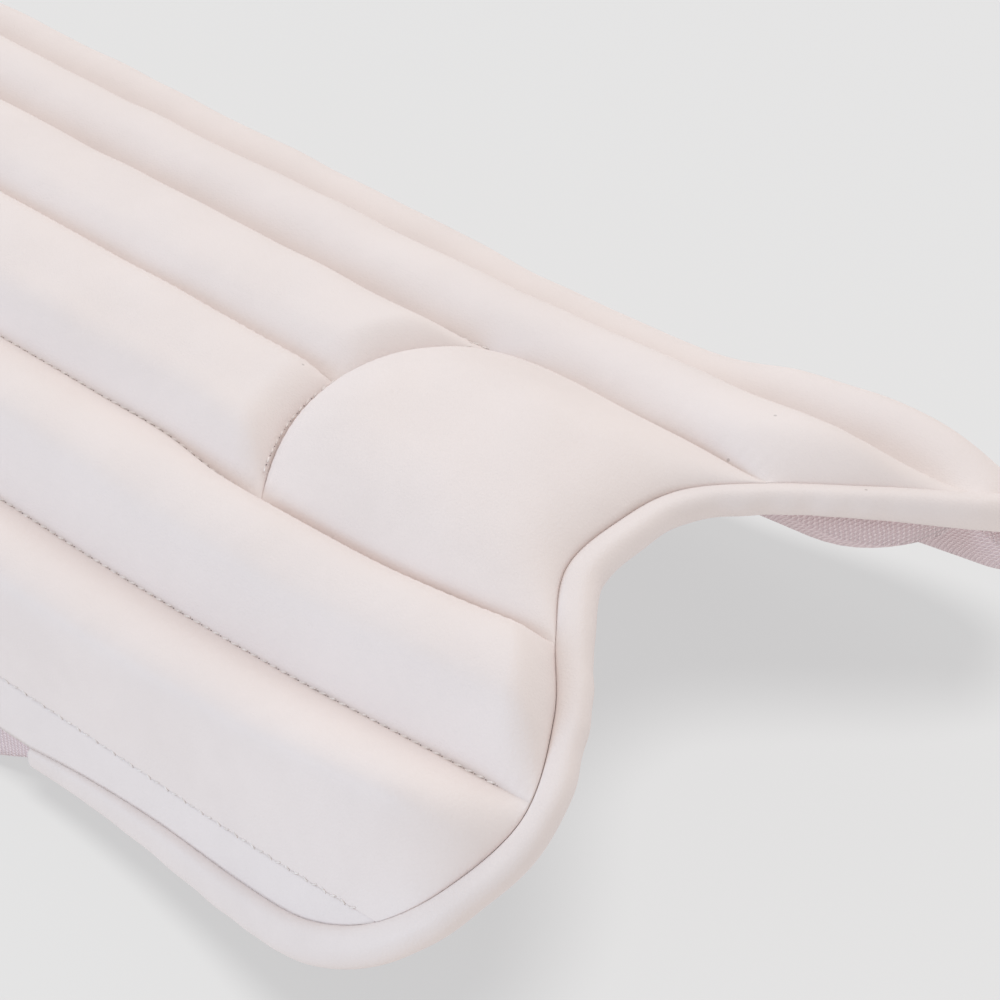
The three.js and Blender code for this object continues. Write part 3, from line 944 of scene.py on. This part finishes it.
def stitch_row(path, lift, slant=0.2, zigzag=False, pierced=True):
    """Adds a row of stitches, with painted shade at its needle holes, along a path of (girth,
    station).
    """
    row = bmesh.new()
    row_holes = bmesh.new()
    length = np.linalg.norm(np.diff(path, axis=0), axis=1).sum()
    count = max(int(length / STITCH_PITCH) * 2, 4)
    path = spaced(path, count)
    points, along, across, up = place_on(path, seam_lift(path[:, 1], path[:, 0]) + lift)
    for i in range(1, count, 2):
        tilt = slant * (-1 if zigzag and i % 4 == 1 else 1)
        tilted = along[i] + across[i] * tilt
        tilted = tilted / np.linalg.norm(tilted)
        bead(row, points[i], tilted, np.cross(up[i], tilted), up[i], STITCH)
        # Where pierced, a dark bead sunk at the next hole is painted shade for the needle hole.
        if pierced and path[i, 0] < NEAR_SIDE:
            sunk = points[i + 1] - up[i] * HOLE_SINK * MM
            bead(row_holes, sunk, along[i + 1], across[i + 1], up[i + 1], HOLE)
    add_to(threads, row)
    add_to(holes, row_holes)
    return count // 2


print("stitch", STITCH["long"], "mm long")

# %% [markdown]
# Rows run along every seam of the face. The outer rows are a zigzag, and the row over the block
# lies on the ends of the two middle rolls. All rows go into one mesh, and all the dark beads of
# painted needle-hole shade into another, because one object of many small shapes is quicker
# than many objects.

# %% All rows of stitches
ROW_STEP = 2.0
ROW_INSET = 4.0
FOOT_INSET = 6.0
ROLL_ROW_END = 286.0
OUTER_ROW_ENDS = (-316.0, 272.0)
OUTER_SLANT = 0.35
SWEPT_HALF = 41.0
SWEPT_STEP = 1.0
SWEPT_BACK = 0.9
THREAD_LIFT = {"seam": 0.25, "outer": 0.1, "swept": 1.9}

stitch_count = 0
for side in (-1, 1):
    for order in (1, 2):
        run = np.arange(KNEE_SEAMS[0] + ROW_INSET, ROLL_ROW_END, ROW_STEP)
        beside = ROLL_SEAMS[order] + (spread(run, side) if order == 1 else 0)
        line = np.stack([side * (beside + np.zeros_like(run)), run], axis=1)
        stop = block_x(ROLL_SEAMS[1]) if order == 1 else foot_x(ROLL_SEAMS[order]) - FOOT_INSET
        stitch_count += stitch_row(line[line[:, 1] < stop], THREAD_LIFT["seam"])
    line = np.array([(side * OUTER_SEAM, x) for x in np.arange(*OUTER_ROW_ENDS, ROW_STEP)])
    stitch_count += stitch_row(line, THREAD_LIFT["outer"], OUTER_SLANT, zigzag=True, pierced=False)
middle_run = np.arange(KNEE_SEAMS[0] + ROW_INSET, BLOCK_CROWN - ROW_INSET, ROW_STEP)
stitch_count += stitch_row(np.array([(0.0, x) for x in middle_run]), THREAD_LIFT["seam"])
swept_run = np.arange(-SWEPT_HALF, SWEPT_HALF + SWEPT_STEP, SWEPT_STEP)
swept = np.array([(girth, block_x(girth) - SWEPT_BACK) for girth in swept_run])
stitch_count += stitch_row(swept, THREAD_LIFT["swept"])
knee_run = np.arange(ROW_INSET - OUTER_SEAM, OUTER_SEAM - ROW_INSET + 1, ROW_STEP)
for knee_seam in KNEE_SEAMS:
    line = np.array([(girth, knee_seam) for girth in knee_run])
    stitch_count += stitch_row(line, THREAD_LIFT["seam"])
face_stitches = finish_mesh("face_stitches", threads)
needle_hole_shades = finish_mesh("needle_hole_shades", holes)
print(stitch_count, "stitches,", len(face_stitches.data.polygons), "faces")

# %% [markdown]
# Shaders are written as sums. A small class wraps one socket, so that 1 - mask or a * b adds
# the Math node it needs, and one method adds any other node from its type, settings and inputs.

# %% Shader expressions


class Wire:
    """An output of a node tree that can be used in expressions."""

    def __init__(self, tree, socket=None):
        self.tree = tree
        self.socket = socket

    def node(self, kind, settings=None, inputs=None, output=0):
        """Adds a node, sets it up, fills its sockets and gives one of its outputs."""
        made = self.tree.nodes.new(kind)
        for key, value in (settings or {}).items():
            setattr(made, key, value)
        for key, value in (inputs or {}).items():
            if isinstance(value, Wire):
                self.tree.links.new(value.socket, made.inputs[key])
            else:
                made.inputs[key].default_value = value
        return Wire(self.tree, made.outputs[output])

    def math(self, operation, *values):
        return self.node("ShaderNodeMath", {"operation": operation}, dict(enumerate(values)))

    def __add__(self, other):
        return self.math("ADD", self, other)

    def __radd__(self, other):
        return self.math("ADD", other, self)

    def __sub__(self, other):
        return self.math("SUBTRACT", self, other)

    def __rsub__(self, other):
        return self.math("SUBTRACT", other, self)

    def __mul__(self, other):
        return self.math("MULTIPLY", self, other)

    def __rmul__(self, other):
        return self.math("MULTIPLY", other, self)

    def noise(self, scale, detail=2.0):
        """Cloudy noise over these coordinates."""
        inputs = {"Vector": self, "Scale": scale, "Detail": detail}
        return self.node("ShaderNodeTexNoise", inputs=inputs)

    def cells(self, scale):
        """The distance to the nearest of many scattered points over these coordinates."""
        return self.node("ShaderNodeTexVoronoi", inputs={"Vector": self, "Scale": scale})

    def into(self, shader, name):
        """Links this to one of a shader's sockets."""
        self.tree.links.new(self.socket, shader.inputs[name])

    def bump(self, shader, strength, distance):
        """Uses this as the height of fine relief on a shader."""
        inputs = {"Height": self, "Strength": strength, "Distance": distance}
        self.node("ShaderNodeBump", inputs=inputs).into(shader, "Normal")

    def clipped(self, low, high):
        """0 at low, 1 at high and smooth between, also where high is the smaller."""
        settings = {"interpolation_type": "SMOOTHSTEP"}
        inputs = {"Value": self, "From Min": low, "From Max": high}
        return self.node("ShaderNodeMapRange", settings, inputs)

    def tint(self, below, above):
        """One colour where this is 0 and the other where it is 1."""
        inputs = {"Factor": self, "A": below, "B": above}
        return self.node("ShaderNodeMix", {"data_type": "RGBA"}, inputs, "Result")


def new_finish(name):
    """A material with its Principled shader, and a start for its expressions."""
    material = bpy.data.materials.new(name)
    material.use_nodes = True
    tree = material.node_tree
    return material, tree.nodes["Principled BSDF"], Wire(tree)


print("shader class ready")

# %% [markdown]
# The face is white coated leather. Its colour drifts a little from place to place, turns brown
# along the seams, partly as stitch dirt and partly as painted shade in the creases, and has a few
# tiny specks. Fine grain is a bump of small cells, far smaller than a stitch.

# %% Leather


def colour(red, green, blue):
    """A shader colour from the three numbers of a screen colour."""
    linear = []
    for part in (red / 255, green / 255, blue / 255):
        low = part <= 0.04045
        linear.append(part / 12.92 if low else ((part + 0.055) / 1.055) ** 2.4)
    return [*linear, 1]


# A brown that is partly stitch dirt and partly painted shade in the seam creases.
DIRT_AND_SHADE_COLOUR = colour(150, 128, 112)
DIRT_AND_SHADE_COVER = 0.35
SPECK_COLOUR = colour(120, 104, 96)
SPECK_COVER = 0.35
SPECK_SIZE = (0.022, 0.012)


def leather(name, base, shade, roughness):
    material, shader, start = new_finish(name)
    place = start.node("ShaderNodeTexCoord", output="Object")
    seam = start.node("ShaderNodeAttribute", {"attribute_name": "seam"}, output="Fac")
    drift = place.noise(26.0, 3.0)
    cloud = place.noise(140.0, 4.0)
    pores = place.cells(1300.0)
    grain = place.noise(3000.0)
    specks = place.cells(34.0).clipped(*SPECK_SIZE)
    tone = (drift * 0.7 + cloud * 0.3).clipped(0.3, 0.7)
    plain = tone.tint(shade, base)
    # Painted crease shade and stitch dirt brown the colour near the seams.
    dirt_and_shade = (seam * (drift * 1.6 - 0.2)).clipped(0.3, 1.2) * DIRT_AND_SHADE_COVER
    dirtied_and_shaded = dirt_and_shade.tint(plain, DIRT_AND_SHADE_COLOUR)
    specked = (specks * SPECK_COVER).tint(dirtied_and_shaded, SPECK_COLOUR)
    specked.into(shader, "Base Color")
    (roughness + (cloud - 0.5) * 0.16).into(shader, "Roughness")
    (pores * 0.6 + grain * 0.4).bump(shader, 0.4, 0.00025)
    shader.inputs["Specular IOR Level"].default_value = 0.35
    return material


white_leather = leather("white leather", colour(242, 230, 226), colour(238, 226, 222), 0.52)
strip_leather = leather("strip leather", colour(241, 230, 227), colour(237, 226, 223), 0.55)
binding_leather = leather("binding leather", colour(240, 228, 224), colour(235, 223, 219), 0.5)
print("three leathers")

# %% [markdown]
# The mesh is a warp knit: slanting ribs that cross and leave small open cells. The pattern is
# worked out on the lining's own UV map, which is in millimetres, so that it bends with the foam.

# %% Knitted mesh
KNIT_PITCH = 2.0
KNIT_SLANT = 0.7
KNIT_WANDER = 1.6


def surface_map(start):
    """The piece's UV map in millimetres, and its two ways, across and along."""
    surface = start.node("ShaderNodeUVMap", {"uv_map": "surface"}, output="UV")
    across = start.node("ShaderNodeSeparateXYZ", inputs={"Vector": surface})
    along = Wire(start.tree, across.socket.node.outputs["Y"])
    return surface, across, along


def knitted_mesh(name):
    material, shader, start = new_finish(name)
    surface, across, along = surface_map(start)
    wander = surface.noise(0.12)
    turn = 2 * math.pi / KNIT_PITCH
    bent = across + (wander - 0.5) * KNIT_WANDER
    left = start.math("SINE", (bent + along * KNIT_SLANT) * turn)
    right = start.math("SINE", (bent - along * KNIT_SLANT) * turn)
    cell = (left * right * 0.5 + 0.5).clipped(0.1, 0.9)
    fibre = surface.noise(4.0, 3.0)
    thread = (cell * 0.75 + fibre * 0.25).tint(colour(223, 198, 201), colour(249, 231, 232))
    thread.into(shader, "Base Color")
    (cell + fibre * 0.3).bump(shader, 0.7, 0.0006)
    shader.inputs["Roughness"].default_value = 0.85
    shader.inputs["Sheen Weight"].default_value = 0.2
    return material


air_mesh = knitted_mesh("knitted mesh")
print("knit pitch", KNIT_PITCH, "mm")

# %% [markdown]
# Webbing is a flat ribbed weave, and the thread is a matt twisted yarn. Both are small in the
# picture, so a few waves on the UV map or on Object coordinates are enough.

# %% Webbing and thread
RIB_PITCH = 1.6
WEFT_PITCH = 1.1


def woven_band(name):
    material, shader, start = new_finish(name)
    _, across, along = surface_map(start)
    rib = start.math("SINE", along * (2 * math.pi / RIB_PITCH))
    weft = start.math("SINE", across * (2 * math.pi / WEFT_PITCH))
    weave = (rib * 0.3 + weft * rib * 0.2 + 0.5).clipped(0.0, 1.0)
    weave.tint(colour(196, 188, 185), colour(232, 226, 223)).into(shader, "Base Color")
    weave.bump(shader, 0.6, 0.0004)
    shader.inputs["Roughness"].default_value = 0.85
    return material


def yarn(name, light, dark):
    material, shader, start = new_finish(name)
    place = start.node("ShaderNodeTexCoord", output="Object")
    place.noise(900.0).clipped(0.3, 0.7).tint(dark, light).into(shader, "Base Color")
    shader.inputs["Roughness"].default_value = 0.8
    return material


webbing = woven_band("webbing")
sewing_thread = yarn("sewing thread", colour(246, 238, 234), colour(230, 220, 215))
# The needle-hole colours are painted shade: dark browns that stand for the shadow in each hole.
painted_hole_shade = yarn("needle hole", colour(176, 160, 156), colour(120, 104, 106))
print("webbing and thread")

# %% [markdown]
# Each piece now gets its finish. Beside it the table lists the frame's material slot that the piece
# stands in for; thread and the painted needle-hole shade have no slot of their own, so the
# leather's is listed.

# %% Dress the pieces
DRESS = [
    (white_leather, "white_leather", [*shin_rolls, instep_block, *knee_rolls, top_panel]),
    (strip_leather, "strip_leather", side_strips),
    (binding_leather, "binding_leather", [foot_binding, top_binding]),
    (air_mesh, "air_mesh", [mesh_lining]),
    (webbing, "webbing", list(straps.values())),
    (sewing_thread, "white_leather", [face_stitches]),
    (painted_hole_shade, "white_leather", [needle_hole_shades]),
]
for material, slot_name, pieces in DRESS:
    for piece in pieces:
        piece.data.materials.append(material)
print(sum(len(pieces) for _, _, pieces in DRESS), "pieces dressed")

# %% [markdown]
# The stage is a pale floor in an even studio room. Two weak suns with a wide angle shape the
# rolls: a warm one from above and behind, and a low cool one from the near side, past the knee.
# The floor glows by itself for the most part, and one more sun is linked to the floor alone. It
# draws the pad's soft shadow, so the shadow is set without changing the light on the leather.

# %% Floor and lights
FLOOR_SIZE = 30.0
FLOOR_GLOW = (0.578, 0.574, 0.576, 1)
FLOOR_SHADES = ((0.060, 0.060, 0.059, 1), (0.062, 0.062, 0.061, 1))
ROOM_LIGHT = 0.73


def make_floor():
    net = bmesh.new()
    bmesh.ops.create_grid(net, x_segments=1, y_segments=1, size=FLOOR_SIZE)
    mesh = bpy.data.meshes.new("floor")
    net.to_mesh(mesh)
    net.free()
    floor = bpy.data.objects.new("floor", mesh)
    bpy.context.scene.collection.objects.link(floor)
    material, shader, start = new_finish("pale floor")
    place = start.node("ShaderNodeTexCoord", output="Object")
    place.noise(3.0).tint(*FLOOR_SHADES).into(shader, "Base Color")
    shader.inputs["Emission Color"].default_value = FLOOR_GLOW
    shader.inputs["Emission Strength"].default_value = 1.0
    shader.inputs["Roughness"].default_value = 0.95
    shader.inputs["Specular IOR Level"].default_value = 0.0
    mesh.materials.append(material)
    return floor


def sun(name, direction, strength, tone, width):
    """A wide sun lamp that shines from a direction towards the pad."""
    data = bpy.data.lights.new(name, "SUN")
    data.energy = strength
    data.color = tone
    data.angle = math.radians(width)
    lamp = bpy.data.objects.new(name, data)
    lamp.rotation_mode = "QUATERNION"
    lamp.rotation_quaternion = Vector(direction).to_track_quat("Z", "Y")
    bpy.context.scene.collection.objects.link(lamp)
    return lamp


def soft_room(tone, strength):
    """Even light from all round."""
    world = bpy.data.worlds.new("studio")
    world.use_nodes = True
    background = world.node_tree.nodes["Background"]
    background.inputs["Color"].default_value = tone
    background.inputs["Strength"].default_value = strength
    bpy.context.scene.world = world


floor = make_floor()
soft_room((1.0, 1.0, 1.0, 1), ROOM_LIGHT)
sun("warm light", (-0.45, 0.7, 0.75), 0.75, (1.0, 0.98, 0.96), 50)
sun("cool light", (-0.5, -0.8, 0.34), 1.0, (0.36, 0.56, 0.77), 24)
shadow_light = sun("shadow light", (0.21, -0.14, 1.0), 7.9, (1.0, 1.0, 1.0), 24)
floor_only = bpy.data.collections.new("floor only")
floor_only.objects.link(floor)
shadow_light.light_linking.receiver_collection = floor_only
bpy.context.scene.view_settings.view_transform = "Standard"
print("floor and lights set")
